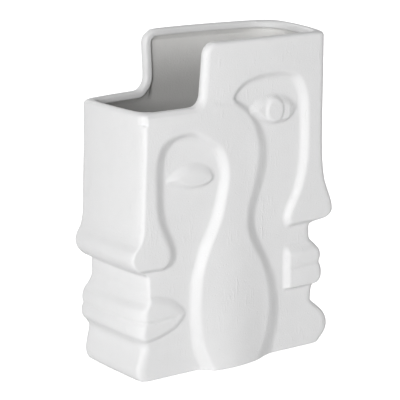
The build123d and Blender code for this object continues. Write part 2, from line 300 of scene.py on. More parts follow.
LEFT_PROFILE = (
    (0, -0.22), (0.018, 0.10), (0.040, 0.20), (0.070, 0.04), (0.110, -0.17), (0.128, 0.06),
    (0.150, 0.52), (0.168, 0.58), (0.188, 0.46), (0.208, 0.48), (0.228, 0.33), (0.249, -0.24),
    (0.270, -0.56), (0.300, -0.57), (0.326, -0.53), (0.344, 0.28), (0.366, 0.87), (0.390, 1.09),
    (0.410, 0.97), (0.432, 0.57), (0.458, 0.34), (0.500, 0.25), (0.570, 0.18), (0.650, 0.09),
    (0.710, 0.03), (0.765, 0), (0.85, 0), (1.02, 0),
)  # fmt: skip
RIGHT_PROFILE = (
    (0, -0.02), (0.018, 0.38), (0.040, 0.78), (0.069, 0.86), (0.098, 0.56), (0.124, -0.04),
    (0.147, -0.59), (0.166, -0.60), (0.188, -0.54), (0.203, -0.36), (0.220, 0.04), (0.242, 0.13),
    (0.260, 0.06), (0.275, -0.06), (0.295, 0.02), (0.314, -0.08), (0.330, -0.36), (0.350, -0.78),
    (0.375, -0.84), (0.396, -0.80), (0.407, -0.28), (0.418, 0.60), (0.432, 0.96), (0.450, 0.99),
    (0.475, 0.83), (0.500, 0.60), (0.540, 0.28), (0.600, 0.08), (0.650, 0.02), (0.710, 0),
    (0.85, 0), (1.02, 0),
)  # fmt: skip

# Each bevel of the face is a row of pairs: its foot on the sunk cheek, and its top edge.
LEFT_CHEEK_BEVEL = (
    ((-0.90, 0.343), (-0.92, 0.353)), ((-0.76, 0.341), (-0.83, 0.352)),
    ((-0.67, 0.354), (-0.785, 0.366)), ((-0.638, 0.379), (-0.765, 0.387)),
    ((-0.66, 0.413), (-0.785, 0.415)), ((-0.72, 0.457), (-0.85, 0.463)),
    ((-0.765, 0.507), (-0.90, 0.511)), ((-0.777, 0.579), (-0.91, 0.586)),
    ((-0.768, 0.655), (-0.902, 0.674)), ((-0.729, 0.698), (-0.835, 0.722)),
    ((-0.657, 0.723), (-0.704, 0.741)), ((-0.550, 0.729), (-0.560, 0.744)),
    ((-0.445, 0.722), (-0.440, 0.738)), ((-0.350, 0.700), (-0.320, 0.716)),
    ((-0.250, 0.677), (-0.190, 0.688)), ((-0.197, 0.645), (-0.125, 0.650)),
    ((-0.167, 0.600), (-0.104, 0.602)), ((-0.202, 0.540), (-0.132, 0.545)),
    ((-0.272, 0.466), (-0.204, 0.466)),
    ((-0.383, 0.395), (-0.315, 0.393)), ((-0.464, 0.321), (-0.394, 0.321)),
    ((-0.503, 0.25), (-0.42, 0.25)), ((-0.506, 0.168), (-0.422, 0.168)),
    ((-0.475, 0.089), (-0.39, 0.089)), ((-0.398, 0.011), (-0.28, 0.004)),
)  # fmt: skip
RIGHT_NOSE_BEVEL = (
    ((0.0, 0.824), (-0.058, 0.828)), ((0.05, 0.850), (0, 0.858)),
    ((0.165, 0.868), (0.135, 0.884)), ((0.33, 0.877), (0.33, 0.893)),
    ((0.51, 0.877), (0.53, 0.892)), ((0.64, 0.861), (0.695, 0.875)),
    ((0.715, 0.815), (0.79, 0.825)), ((0.742, 0.757), (0.812, 0.757)),
    ((0.748, 0.671), (0.818, 0.671)), ((0.735, 0.600), (0.806, 0.593)),
    ((0.68, 0.521), (0.74, 0.521)), ((0.602, 0.468), (0.652, 0.468)),
    ((0.565, 0.432), (0.613, 0.434)), ((0.597, 0.402), (0.640, 0.420)),
    ((0.73, 0.405), (0.74, 0.415)),
)  # fmt: skip
NECK_BEVEL = (
    ((0.45, 0.011), (0.22, 0.011)), ((0.508, 0.071), (0.30, 0.071)),
    ((0.53, 0.154), (0.351, 0.154)), ((0.513, 0.211), (0.342, 0.214)),
    ((0.472, 0.264), (0.309, 0.268)), ((0.398, 0.314), (0.254, 0.318)),
    ((0.32, 0.361), (0.171, 0.364)), ((0.26, 0.404), (0.105, 0.407)),
    ((0.239, 0.446), (0.088, 0.450)), ((0.272, 0.502), (0.107, 0.502)),
    ((0.330, 0.556), (0.170, 0.556)), ((0.374, 0.620), (0.218, 0.625)),
    ((0.376, 0.668), (0.224, 0.676)), ((0.345, 0.707), (0.206, 0.716)),
    ((0.290, 0.741), (0.160, 0.751)), ((0.205, 0.776), (0.088, 0.784)),
    ((0.110, 0.802), (0.012, 0.806)),
)  # fmt: skip


@dataclass(frozen=True)
class Eye:
    """An eyeball: its upper and lower line from left to right, its rise, and two widths.

    The flank is the width over which it rises from its outline, and the facet the width over
    which it falls towards its right corner.
    """

    upper: tuple
    lower: tuple
    rise: float
    flank: float
    facet: float


LEFT_EYE = Eye(
    ((-0.76, 0.604), (-0.66, 0.634), (-0.55, 0.648), (-0.44, 0.647), (-0.31, 0.633),
     (-0.215, 0.604)),
    ((-0.76, 0.604), (-0.67, 0.592), (-0.57, 0.582), (-0.45, 0.576), (-0.32, 0.580),
     (-0.215, 0.604)),
    rise=3.4, flank=7.0, facet=6.4,
)  # fmt: skip
RIGHT_EYE = Eye(
    ((0.14, 0.781), (0.23, 0.808), (0.33, 0.819), (0.45, 0.820), (0.58, 0.812), (0.72, 0.780)),
    ((0.14, 0.781), (0.24, 0.757), (0.35, 0.742), (0.46, 0.737), (0.60, 0.743), (0.72, 0.780)),
    rise=3.9, flank=6.5, facet=11.0,
)  # fmt: skip
PUPIL_CENTRE = (0.424, 0.778)
LEFT_LIPS = (
    (-1.50, 0.272), (-1.10, 0.270), (-0.86, 0.262), (-0.72, 0.248), (-0.62, 0.228),
    (-0.54, 0.196), (-0.62, 0.160), (-0.75, 0.140), (-0.90, 0.128), (-1.50, 0.124),
)  # fmt: skip
# Height, and the left front corner's size along the front and along the end there.
LEFT_CORNER_SIZES = (
    (0, 8.0, 5.5), (26, 7.0, 5.5), (33, 4.5, 12.0), (60, 4.5, 18.0), (72, 2.6, 18.0),
    (96, 2.2, 15.0), (106, 2.4, 14.0), (122, 2.6, 13.0), (140, 3.2, 10.0), (290, 3.6, 9.0),
)  # fmt: skip
SET_BACK_LINE = ((-2.00, 0.815), (-0.03, 0.815), (0.12, 0.760), (0.45, 0.640), (0.45, 0.300),
                 (0.60, 0.150), (0.60, -0.200))  # fmt: skip


# ---------------------------------------------------------------- the face


@dataclass
class FaceRelief:
    """The carved front as a height field over x and z, in steps of one pitch.

    The block is the right face's pair of lips. Ramps and falls are as in the plan.
    """

    plan: VasePlan
    pitch: float = 0.65
    soften: float = 1.0
    soften_fine: float = 0.45
    crown: float = 5.7
    crown_top: float = 168.0
    crown_half: float = 40.0
    crown_x: float = -7.0
    lip_rise: float = 3.0
    lip_round: float = 9.0
    lip_top: float = 7.0
    lip_low: float = 5.0
    eye_swell: float = 1.6
    eye_underside: float = 1.9
    underside_ramp: tuple[float, float] = (5.0, 14.0)
    pupil_rise: float = 1.5
    pupil_half: tuple[float, float] = (8.6, 10.6)
    pupil_edge: float = 3.0
    pupil_level: float = 2.4
    pupil_fade: float = 1.2
    slab_bow: float = 0.9
    slab_span: float = 62.0
    slab_ramp: tuple[float, float] = (105.0, 60.0)
    brow_bow: float = 1.3
    brow_x: float = 4.0
    brow_span: float = 38.0
    ledge: float = 0.8
    ledge_wide: float = 7.0
    ledge_fall: tuple[float, float] = (-18.0, 9.0)
    soft_band: float = 8.0
    turn_band: float = 4.0
    crease: float = 1.2
    left_crease_z: float = 52.4
    left_crease_half: float = 1.3
    left_crease_lift: float = 1.2
    left_crease_ramp: tuple[float, float] = (-78.0, 22.0)
    left_crease_fall: tuple[float, float] = (-53.0, 9.0)
    right_crease_z: float = 76.2
    right_crease_half: float = 1.1
    right_crease_share: float = 0.6
    right_crease_ramp: tuple[float, float] = (54.0, 14.0)
    block_left: float = 51.2
    block_flank: float = 5.8
    block_ramp: tuple[float, float] = (56.6, 1.8)
    block_fall: tuple[float, float] = (97.5, 10.0)
    block_share: float = 0.84
    block_bulge: float = 0.22
    bulge_ramp: tuple[float, float] = (52.0, 18.0)
    block_lips: tuple[float, float] = (85.5, 66.0)
    block_lip_half: float = 10.5
    x_low: float = -122.0
    x_high: float = 122.0
    z_low: float = -4.0
    z_high: float = 284.0
    surface: Array = field(init=False, repr=False)

    def __post_init__(self) -> None:
        """Works the height field out once."""
        self.columns = np.arange(self.x_low, self.x_high + self.pitch, self.pitch)
        self.rows = np.arange(self.z_low, self.z_high + self.pitch, self.pitch)
        self.x, self.z = np.meshgrid(self.columns, self.rows)
        self.points = np.column_stack([self.x.ravel(), self.z.ravel()])
        self.surface = self.carve()

    def in_mm(self, shares: tuple) -> Array:
        """Turns pairs of shares of the half width and the height into millimetres."""
        return np.asarray(shares, float) * (self.plan.width_unit, self.plan.height_unit)

    def risen(self, foot: Array, top: Array) -> Array:
        """Share of a bevel's rise over the field.

        The share is d_foot / (d_foot + d_top), the distances to the bevel's two edges, which is
        0 on the sunk cheek and 1 beyond the top edge, then eased for rounded edges.

        Args:
            foot: The bevel's edge on the cheek, as a closed ring.
            top: Its upper edge, as a closed ring round the first.

        Returns:
            The share at each place of the field.
        """
        from_foot, in_foot, _ = nearest(self.points, foot)
        from_top, in_top, _ = nearest(self.points, top)
        share = from_foot / (from_foot + from_top + 1e-9)
        share = np.where(in_foot, 0.0, np.where(in_top, share, 1.0)).reshape(self.x.shape)
        return 0.45 * share + 0.55 * ease(share)

    def cheeks(self) -> Array:
        """Share of the rise from the sunk cheeks to the raised face, 0 on a cheek.

        Returns:
            The share at each place of the field.
        """
        left = self.in_mm(LEFT_CHEEK_BEVEL)
        nose = self.in_mm(RIGHT_NOSE_BEVEL)
        neck = self.in_mm(NECK_BEVEL)
        share = np.ones(self.x.shape)
        for edge in (0, 1):
            ends = [(left[-1, edge, 0] + 4, -60), (-200, -60), (-200, left[0, edge, 1])]
            ring = np.vstack([smooth_line(left[:, edge], 8), ends])
            loop = np.vstack([neck[:, edge], nose[:, edge]])
            ends = [(200, nose[-1, edge, 1]), (200, -60), (neck[0, edge, 0] - 4, -60)]
            other = np.vstack([smooth_line(loop, 8), ends])
            if edge == 0:
                feet = (ring, other)
            else:
                for foot, top in zip(feet, (ring, other)):
                    share = np.minimum(share, self.risen(foot, top))
        return share

    def set_back_share(self) -> Array:
        """Share of the right face's set-back: 0 left of its line, 1 right of it and above.

        Returns:
            The share at each place of the field.
        """
        line = self.in_mm(SET_BACK_LINE)
        ring = np.vstack([line, [(200, -60), (200, 320), (line[0, 0], 320)]])
        gap, inside, _ = nearest(self.points, ring)
        signed = np.where(inside, gap, -gap).reshape(self.x.shape)
        band = self.ledge + self.ledge_wide * fall(self.x, *self.ledge_fall)
        crisp = ramp(signed, -band, 2 * band)
        soft = ramp(signed, -self.soft_band, 2 * self.soft_band)
        beyond = ramp(self.x - line[1, 0], -self.turn_band, 2 * self.turn_band)
        return crisp * (1 - beyond) + soft * beyond

    def crown_rise(self) -> Array:
        """Crown of the neck: a broad swelling that passes into the slab.

        Its rise is C (1 - z / top)^1.3 (1 - u^2)^2, with u = (x - middle) / half width.
        """
        lean = np.clip(1.0 - np.clip(self.z, 0.0, None) / self.crown_top, 0.0, 1.0) ** 1.3
        across = np.clip(1.0 - ((self.x - self.crown_x) / self.crown_half) ** 2, 0.0, 1.0) ** 2
        return self.crown * lean * across

    def pillow(self, shares: tuple, rise: float, sides: float, top: float, low: float) -> Array:
        """A raised form with rounded flanks.

        The rise grows with the sine of a quarter turn over the flank's width, which depends on
        which way the nearest outline lies: sideways, up or down.

        Args:
            shares: The outline, in shares of the plan's units.
            rise: The full rise.
            sides: The flank's width at the sides.
            top: Its width at the top.
            low: Its width at the bottom.

        Returns:
            The rise at each place of the field.
        """
        ring = smooth_line(self.in_mm(shares), 10, closed=True)
        gap, inside, way = nearest(self.points, ring)
        across, up = way[:, 0] ** 2, way[:, 1]
        width = sides * across + np.where(up > 0, top, low) * (1 - across)
        share = np.where(inside, np.clip(gap / width, 0.0, 1.0), 0.0)
        return rise * np.sin(share * math.pi / 2).reshape(self.x.shape)

    def eye(self, eye: Eye) -> Array:
        """Rise of an eyeball between its upper and its lower line.

        The rise is the product of two shares: the distance to the outline over the flank's
        width, which is narrow where the outline lies below, and the distance from the right
        corner over the facet's width.

        Args:
            eye: The eye's lines and sizes.

        Returns:
            The rise at each place of the field.
        """
        upper, lower = self.in_mm(eye.upper), self.in_mm(eye.lower)
        ring = smooth_line(np.vstack([upper, lower[-2:0:-1]]), 10, closed=True)
        gap, inside, way = nearest(self.points, ring)
        low = np.clip(-way[:, 1], 0.0, 1.0)
        low = low * ramp(self.points[:, 0] - ring[0, 0], *self.underside_ramp)
        width = eye.flank + (self.eye_underside - eye.flank) * low
        share = np.where(inside, gap / width, 0.0).reshape(self.x.shape)
        from_right = np.clip((upper[-1, 0] - self.x) / eye.facet, 0.0, 1.0)
        swell = 1.0 - (1.0 - np.clip(share, 0.0, 1.0)) ** self.eye_swell
        return eye.rise * swell * from_right

    def pupil(self, eye_rise: Array) -> Array:
        """Rise of the right eye's pupil: an oval disc with an eased edge, level where it lies.

        Args:
            eye_rise: The rise of the eye that it sits on.

        Returns:
            The rise at each place of the field.
        """
        centre = self.in_mm((PUPIL_CENTRE,))[0]
        wide, tall = self.pupil_half
        off = np.hypot((self.x - centre[0]) / wide, (self.z - centre[1]) / tall)
        disc = ease((1.0 - off) * wide / self.pupil_edge + 0.5)
        level = self.pupil_rise + np.clip(RIGHT_EYE.rise - eye_rise, 0, self.pupil_level)
        return disc * level * np.clip(eye_rise / self.pupil_fade, 0.0, 1.0)

    def right_lips(self) -> Array:
        """Share of the right lips' rise: a block with a wide left flank and a crisp underside.

        Each of the two lips adds a bulge of 1 - (distance to its middle / half height) squared.

        Returns:
            The share at each place of the field.
        """
        left = np.clip((self.x - self.block_left) / self.block_flank, 0.0, 1.0)
        left = 0.6 * left + 0.4 * ease(left)
        low = ramp(self.z, *self.block_ramp)
        high = fall(self.z, *self.block_fall)
        upper, lower = (
            np.clip(1.0 - ((self.z - middle) / self.block_lip_half) ** 2, 0.0, 1.0)
            for middle in self.block_lips
        )
        bulge = self.block_bulge * np.maximum(upper, lower) * ramp(self.x, *self.bulge_ramp)
        return left * low * high * (self.block_share + bulge)

    def carve(self) -> Array:
        """Puts the front together: slab, crown, cheeks, lips, eyes, pupil and creases.

        Returns:
            The front's y at each place of the field.
        """
        plan = self.plan
        share = self.cheeks()
        back = self.set_back_share()
        across = np.clip((self.x + self.slab_span) / self.slab_span, 0.0, 1.15)
        bow = self.slab_bow * across**2 * ramp(self.z, *self.slab_ramp) * (1 - back)
        across = np.clip((self.brow_x - self.x) / self.brow_span, 0.0, 1.1)
        turned = self.brow_bow * across**2 * back
        raised = plan.front + plan.set_back * back + bow + turned - self.crown_rise()
        y = plan.sunk + (raised - plan.sunk) * share
        y = blurred(y, self.soften / self.pitch)
        widths = (self.lip_round, self.lip_top, self.lip_low)
        lips = self.pillow(LEFT_LIPS, self.lip_rise, *widths)
        y -= lips * (1 - share)
        block = self.right_lips() * (1 - share)
        y += (plan.front + plan.set_back - plan.sunk) * block
        right_eye = self.eye(RIGHT_EYE)
        y -= self.eye(LEFT_EYE) + right_eye + self.pupil(right_eye)
        y += self.creases()
        return blurred(y, self.soften_fine / self.pitch)

    def creases(self) -> Array:
        """The two lines where lips meet: grooves with a bell-shaped section that fade out.

        Returns:
            The depth at each place of the field.
        """
        left_z = self.left_crease_z + self.left_crease_lift * ramp(self.x, *self.left_crease_ramp)
        left = bell(self.z, left_z, self.left_crease_half) * fall(self.x, *self.left_crease_fall)
        right = bell(self.z, self.right_crease_z, self.right_crease_half)
        right = right * ramp(self.x, *self.right_crease_ramp)
        return self.crease * left + self.right_crease_share * self.crease * right

    def y(self, x: Array, z: Array) -> Array:
        """Front surface at any x and z, by a cubic through the four nearest cells each way.

        Args:
            x: Places along the front.
            z: Heights there.

        Returns:
            The front's y at each of them.
        """
        u = np.clip((x - self.x_low) / self.pitch, 1.0, len(self.columns) - 2.001)
        v = np.clip((z - self.z_low) / self.pitch, 1.0, len(self.rows) - 2.001)
        i, j = np.floor(u).astype(int), np.floor(v).astype(int)
        total = np.zeros(np.broadcast(u, v).shape)
        for n, row in enumerate(self.kernel(v - j)):
            for m, column in enumerate(self.kernel(u - i)):
                total += row * column * self.surface[j + n - 1, i + m - 1]
        return total

    @staticmethod
    def kernel(s: Array) -> tuple[Array, Array, Array, Array]:
        """Weights of the four cells round a place, for the cubic through them.

        Args:
            s: How far a place lies past the second cell, from 0 to 1.

        Returns:
            The four weights.
        """
        return (
            0.5 * (-(s**3) + 2 * s**2 - s),
            0.5 * (3 * s**3 - 5 * s**2 + 2),
            0.5 * (-3 * s**3 + 4 * s**2 + s),
            0.5 * (s**3 - s**2),
        )


# ---------------------------------------------------------------- the body's mesh


def mark_edges(mesh: bpy.types.Mesh) -> None:
    """Stores how convex the mesh is at each vertex, as the attribute "edge".

    The measure is the distance from the mean of a vertex's neighbours to the vertex along its
    normal, over the mean length of its edges: above 0 on a ridge, below 0 in a crease.

    Args:
        mesh: The mesh that gets the attribute.
    """
    count = len(mesh.vertices)
    points, normals = np.empty(count * 3), np.empty(count * 3, np.float32)
    mesh.vertices.foreach_get("co", points)
    mesh.vertex_normals.foreach_get("vector", normals)
    points, normals = points.reshape(-1, 3), normals.reshape(-1, 3).astype(float)
    ends = np.empty(len(mesh.edges) * 2, int)
    mesh.edges.foreach_get("vertices", ends)
    a, b = ends.reshape(-1, 2).T
    span = np.linalg.norm(points[b] - points[a], axis=1)
    both, other = np.concatenate([a, b]), np.concatenate([b, a])
    degree = np.bincount(both, minlength=count)
    length = np.bincount(both, np.concatenate([span, span]), count) / degree
    mean = np.stack([np.bincount(both, points[other, n], count) for n in range(3)], -1)
    bulge = ((points - mean / degree[:, None]) * normals).sum(1) / length**2 * MM
    for _ in range(6):
        bulge = 0.5 * bulge + 0.5 * np.bincount(both, bulge[other], count) / degree
    mark = mesh.attributes.new("edge", "FLOAT", "POINT")
    mark.data.foreach_set("value", np.clip(bulge * 8.0, -1.0, 1.0).astype(np.float32))


class Shell:
    """Collects the vertices and faces of one mesh, with the zone of each face."""

    def __init__(self) -> None:
        """Starts empty."""
        self.blocks: list[Array] = []
        self.faces: list[Array] = []
        self.zones: list[Zone] = []
        self.caps: list[list[int]] = []
        self.cap_zones: list[Zone] = []
        self.count = 0

    def add(self, points: Array) -> Array:
        """Adds points and gives back their numbers in the same layout.

        Args:
            points: The points, with x, y and z on the last axis.

        Returns:
            The number of each vertex.
        """
        index = np.arange(points.size // 3).reshape(points.shape[:-1]) + self.count
        self.blocks.append(points.reshape(-1, 3))
        self.count += points.size // 3
        return index

    def grid(self, index: Array, closed: bool, zone: Zone) -> None:
        """Joins rows of vertices with quads, and the last column with the first if closed.

        Args:
            index: The vertices' numbers, in rows and columns.
            closed: Whether the last column joins the first.
            zone: The zone of the faces.
        """
        here, there = index[:-1], index[1:]
        if closed:
            a, b = here, np.roll(here, -1, axis=1)
            d, c = there, np.roll(there, -1, axis=1)
        else:
            a, b, c, d = here[:, :-1], here[:, 1:], there[:, 1:], there[:, :-1]
        self.faces.append(np.stack([a, b, c, d], -1).reshape(-1, 4))
        self.zones.extend([zone] * len(self.faces[-1]))

    def cap(self, loop: Array, zone: Zone) -> None:
        """Closes a loop of vertices with one face."""
        self.caps.append(loop.tolist())
        self.cap_zones.append(zone)

    def points(self) -> Array:
        """All vertices so far, in millimetres."""
        return np.concatenate(self.blocks)

    def mesh(self, name: str, shift: tuple[float, float]) -> bpy.types.Mesh:
        """Makes the smooth mesh in metres, moved in plan, with a material slot for each zone.

        Args:
            name: The mesh's name.
            shift: How far it moves along x and y.

        Returns:
            The mesh.
        """
        polygons = np.concatenate(self.faces).tolist() + self.caps
        made = bpy.data.meshes.new(name)
        made.from_pydata(((self.points() + np.array([*shift, 0.0])) * MM).tolist(), [], polygons)
        made.polygons.foreach_set("use_smooth", np.ones(len(polygons), bool))
        slots = np.array([zone.value for zone in self.zones + self.cap_zones])
        made.polygons.foreach_set("material_index", slots)
        made.update()
        mark_edges(made)
        triangles = sum(len(polygon) - 2 for polygon in polygons)
        log.info("%s: %d vertices, %d triangles", name, self.count, triangles)
        return made


@dataclass
class Border:
    """The skins' border below the mouth, with one entry for each of its vertices.

    The border lies one inset inside the mouth's edge. Each vertex has its column and height
    there, its place and outward direction on the rim, and the wall that it belongs to.
    """

    column: Array
    level: Array
    at_x: Array
    rim_x: Array
    rim_z: Array
    way: Array
    front: Array
    back: Array


@dataclass
class VaseBody:
    """The one-piece ceramic body: outer skin, stepped rim, chamber and foot.

    The skins end one inset inside the mouth's edge. The front's columns stand still up to the
    still distance from the middle, and spread from there to the moving corners. Ramps and
    falls are as in the plan, along x.
    """

    plan: VasePlan
    relief: FaceRelief
    front_columns: int = 176
    corner_columns: int = 6
    end_columns: int = 13
    back_columns: int = 34
    inset: float = 10.0
    outer_round: float = 3.4
    step_edge_round: float = 5.0
    inner_round: float = 2.8
    collar: float = 6.0
    front_corner: float = 5.0
    foot_round: float = 1.2
    back_left: float = 7.5
    back_right: float = 10.0
    front_growth: float = 0.55
    back_left_growth: float = 0.7
    back_right_growth: float = 1.6
    inner_corner: float = 8.0
    inner_back: tuple[float, float] = (11.0, 26.0)
    bowl_round: float = 5.0
    mouth_groove: tuple[float, float, float] = (52.6, 1.3, 0.8)
    hull_near: float = 7.0
    hull_mean: float = 5.0
    past_corner: float = 13.0
    lean_ramp: tuple[float, float] = (-56.0, 10.0)
    lean_fall: tuple[float, float] = (-14.0, 16.0)
    gap_ramp: tuple[float, float] = (-75.0, 30.0)
    edge: float = 88.0
    still: float = 40.0
    low_rows: int = 205
    high_rows: int = 40
    inner_rows: int = 26
    climb_rows: int = 8

    def __post_init__(self) -> None:
        """Prepares the columns and the profiles."""
        self.counts = {
            Part.FRONT: self.front_columns,
            Part.FRONT_RIGHT: self.corner_columns,
            Part.RIGHT_END: self.end_columns,
            Part.BACK_RIGHT: self.corner_columns,
            Part.BACK: self.back_columns,
            Part.BACK_LEFT: self.corner_columns,
            Part.LEFT_END: self.end_columns,
            Part.FRONT_LEFT: self.corner_columns,
        }
        self.total = sum(self.counts.values())
        self.part_of = np.concatenate([np.full(n, p.value) for p, n in self.counts.items()])
        self.lines = {
            side: smooth_line(np.asarray(table) * (self.plan.height_unit, reach), 24)
            for side, table, reach in (
                (Side.LEFT, LEFT_PROFILE, self.plan.left_reach),
                (Side.RIGHT, RIGHT_PROFILE, self.plan.right_reach),
            )
        }

    def reach(self, side: Side, z: Array) -> Array:
        """How far an end's profile stands out at a height, less the groove where lips meet.

        Args:
            side: The left or the right end.
            z: Heights.

        Returns:
            The reach at each height.
        """
        line = self.lines[side]
        order = np.maximum.accumulate(line[:, 0])
        out = np.interp(z, order, line[:, 1])
        if side is Side.LEFT:
            place, half, depth = self.mouth_groove
            out = out - depth * bell(z, place, half)
        return out

    def hull_reach(self, side: Side, z: Array) -> Array:
        """Reach of the chamber's wall: the least reach near a height, then a mean of such.

        Args:
            side: The left or the right end.
            z: Heights.

        Returns:
            The reach at each height.
        """
        spread = np.linspace(-self.hull_near, self.hull_near, 15)
        places = z[..., None] + np.linspace(-self.hull_mean, self.hull_mean, 7)
        near = np.clip(places[..., None] + spread, 0.0, self.plan.height)
        return self.reach(side, near).min(-1).mean(-1)

    def ring(
        self,
        z: Array,
        inset: Array,
        front: Array | None,
        reach: tuple[Array, Array],
        corner: tuple[Array, Array, Array, Array],
        back_corner: tuple[Array, Array],
    ) -> Array:
        """Loops round the vase at given heights.

        The front is y = relief(x, z) plus the inset, the ends are x = +-(half width at the depth
        + reach - inset), the back is the bowed line less the inset, and each corner is a
        parabola between points one corner size away from where the two faces would meet.

        Args:
            z: Heights, shape (rows,).
            inset: How far the loop lies inside the outer skin, shape (rows,).
            front: A plain front at this y for each row, or None to follow the relief.
            reach: Reach of the left and of the right end, each of shape (rows,).
            corner: Sizes of the front corners, each of shape (rows,): the left one along the
                front and along the end, then the right one in the same way.
            back_corner: Size of the left and of the right back corner, each of shape (rows,).

        Returns:
            Points of shape (rows, columns, 3).
        """
        plan = self.plan
        z, inset = z[:, None], inset[:, None]
        left, right = (r[:, None] for r in reach)
        corner_l, turn_l, corner_r, turn_r = (c[:, None] for c in corner)
        back_size = dict(zip((Side.LEFT, Side.RIGHT), (c[:, None] for c in back_corner)))

        def front_y(x: Array) -> Array:
            """The front's y at any x: the relief, or the plain front."""
            if front is None:
                return self.relief.y(x, z + 0 * x) + inset
            return front[:, None] + 0 * x

        def end_x(side: Side, y: Array) -> Array:
            """An end's x at any y."""
            stand = left if side is Side.LEFT else right
            return side.value * (plan.half(side, y - plan.front, z) + stand - inset)

        low = end_x(Side.LEFT, plan.front + 0 * z) + corner_l
        high = end_x(Side.RIGHT, plan.front + 0 * z) - corner_r
        base = np.linspace(-self.edge, self.edge, self.front_columns)[None]
        room = self.edge - self.still
        x = base + fall(base, -self.still, room) * (low + self.edge)
        x = x + ramp(base, self.still, room) * (high - self.edge)
        rows = [np.stack([x, front_y(x)], -1)]
        tip = {}
        for side, size in ((Side.RIGHT, turn_r), (Side.LEFT, turn_l)):
            flat_x = x[:, -1:] if side is Side.RIGHT else x[:, :1]
            flat_y = front_y(flat_x)
            meet_x = end_x(side, flat_y)
            tip[side] = (flat_x, flat_y, meet_x, flat_y, end_x(side, flat_y + size), flat_y + size)
        back = {}
        for side in (Side.RIGHT, Side.LEFT):
            far_x = end_x(side, plan.front + plan.end_depth + 0 * z)
            far_y = plan.back_y(far_x) - inset
            far_x = end_x(side, far_y)
            near_x = far_x - side.value * back_size[side]
            back[side] = (
                end_x(side, far_y - back_size[side]), far_y - back_size[side],
                far_x, far_y, near_x, plan.back_y(near_x) - inset,
            )  # fmt: skip

        def corner_row(c: tuple, turned: bool) -> Array:
            """Points of a corner's parabola, given its three control points.

            Args:
                c: The control points' x and y in turn.
                turned: Whether the row runs from the back to the front.

            Returns:
                Points of shape (rows, columns, 2).
            """
            s = (np.arange(self.corner_columns) + 1) / (self.corner_columns + 1)
            s = (s[::-1] if turned else s)[None]
            weight = ((1 - s) ** 2, 2 * s * (1 - s), s**2)
            xs = sum(w * c[2 * n] for n, w in enumerate(weight))
            ys = sum(w * c[2 * n + 1] for n, w in enumerate(weight))
            return np.stack([xs, ys], -1)

        def end_row(side: Side, turned: bool) -> Array:
            """Points of an end between its two corners.

            Args:
                side: The left or the right end.
                turned: Whether the row runs from the back to the front.

            Returns:
                Points of shape (rows, columns, 2).
            """
            s = np.linspace(0.0, 1.0, self.end_columns)[None]
            s = s[:, ::-1] if turned else s
            y = tip[side][5] * (1 - s) + back[side][1] * s
            return np.stack([end_x(side, y), y], -1)

        s = np.linspace(0.0, 1.0, self.back_columns)[None]
        back_x = back[Side.RIGHT][4] * (1 - s) + back[Side.LEFT][4] * s
        rows += [
            corner_row(tip[Side.RIGHT], False),
            end_row(Side.RIGHT, False),
            corner_row(back[Side.RIGHT], False),
            np.stack([back_x, plan.back_y(back_x) - inset], -1),
            corner_row(back[Side.LEFT], True),
            end_row(Side.LEFT, True),
            corner_row(tip[Side.LEFT], True),
        ]
        flat = np.concatenate(rows, axis=1)
        return np.concatenate([flat, np.broadcast_to(z[..., None], flat.shape[:2] + (1,))], -1)

    def outer(self, z: Array, inset: Array | None = None) -> Array:
        """Loops of the outer skin, or of one drawn in by an inset.

        Args:
            z: Heights, one for each loop.
            inset: How far each is drawn in.

        Returns:
            Points of shape (rows, columns, 3).
        """
        inset = np.zeros(len(z)) if inset is None else inset
        places, along_front, along_end = np.asarray(LEFT_CORNER_SIZES, float).T
        left = np.interp(z, places, along_front)
        left_turn = np.interp(z, places, along_end)
        right = np.full(len(z), self.front_corner)
        grown = self.front_growth * inset
        corner = (left + grown, left_turn + grown, right + grown, right + grown)
        reach = (self.reach(Side.LEFT, z), self.reach(Side.RIGHT, z))
        back = (
            self.back_left + self.back_left_growth * inset,
            self.back_right + self.back_right_growth * inset,
        )
        return self.ring(z, inset, None, reach, corner, back)

    def inner(self, z: Array, inset: float | None = None) -> Array:
        """Loops of the chamber's wall.

        Args:
            z: Heights, one for each loop.
            inset: Depth inside the outer skin, or None for the wall's.

        Returns:
            Points of shape (rows, columns, 3).
        """
        depth = np.full(len(z), self.plan.wall if inset is None else inset)
        extra = depth - self.plan.wall
        reach = (self.hull_reach(Side.LEFT, z), self.hull_reach(Side.RIGHT, z))
        corner = np.full(len(z), self.inner_corner)
        back = tuple(np.full(len(z), size) for size in self.inner_back)
        front = self.plan.chamber_front + extra
        return self.ring(z, depth, front, reach, (corner, corner, corner, corner), back)

    def heights(self) -> tuple[Array, Array]:
        """Heights of the rows below and above the low mouth's inset, closer where ends turn.

        Returns:
            The heights below and from there up, which share one height.
        """
        plan = self.plan
        turn_z = plan.low_mouth - self.inset
        fine = np.linspace(plan.bottom + self.foot_round, turn_z, 4000)
        weight = np.ones(len(fine))
        for side in Side:
            weight += 0.45 * np.minimum(np.abs(np.gradient(self.reach(side, fine), fine)), 3.0)
        run = np.concatenate([[0.0], np.cumsum(0.5 * (weight[1:] + weight[:-1]))])
        low = np.interp(np.linspace(0.0, run[-1], self.low_rows), run, fine)
        return low, np.linspace(turn_z, plan.height - self.inset, self.high_rows)

